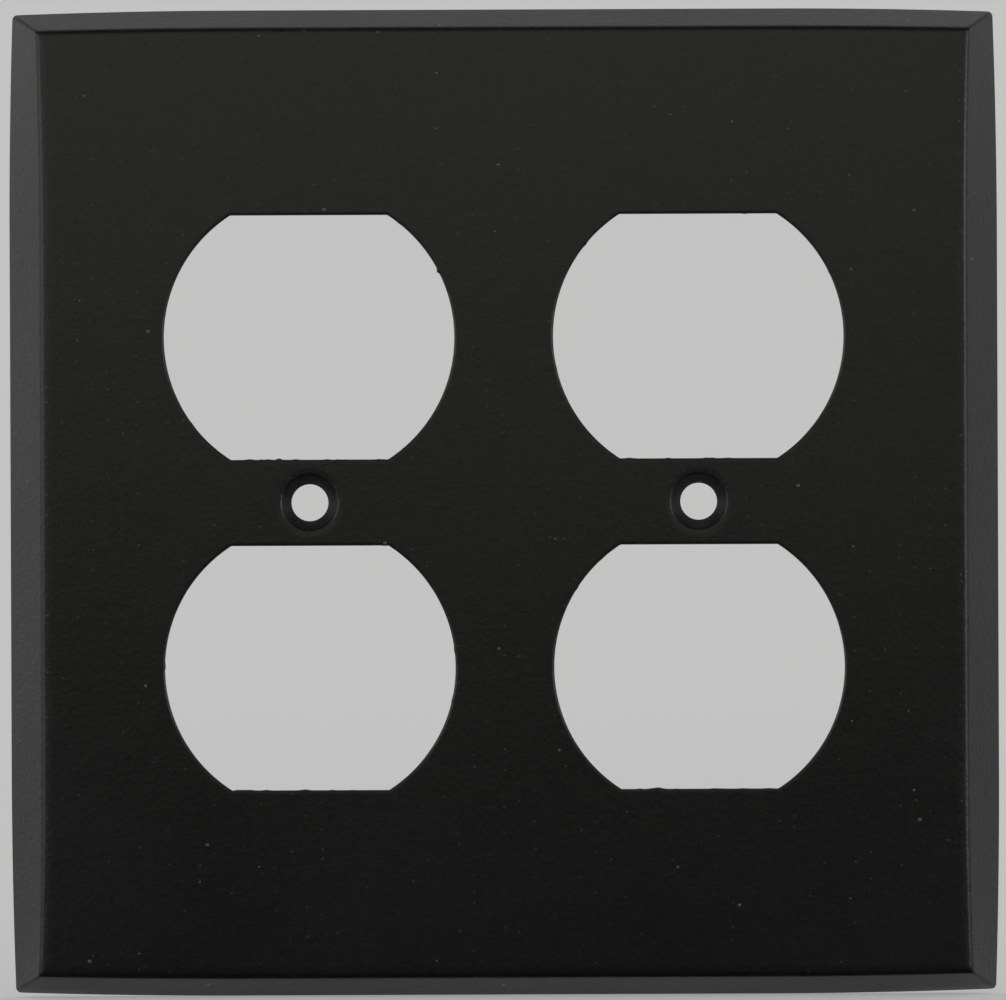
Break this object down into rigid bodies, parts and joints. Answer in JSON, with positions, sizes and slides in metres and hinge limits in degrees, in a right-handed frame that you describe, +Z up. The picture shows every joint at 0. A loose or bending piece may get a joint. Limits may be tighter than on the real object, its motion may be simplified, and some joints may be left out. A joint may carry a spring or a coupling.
{
  "type": "wall plate cover",
  "caption": "Square pressed-steel wall plate with a bevelled rim, outlet openings with flat tops and bottoms for ganged duplex receptacles, and dimpled screw seats.",
  "frame": {"origin": "centre of the wall plane, on which the rim bears", "axes": "+X to the right of a person facing the plate, +Z up the wall, +Y into the wall; the front face looks towards -Y"},
  "size_m": [0.1176, 0.0055, 0.1172],
  "materials": {
    "powder_coat": "matte black powder coat with a very fine texture"
  },
  "bodies": {
    "root": {"wall_plate": "powder_coat"}
  },
  "joints": []
}
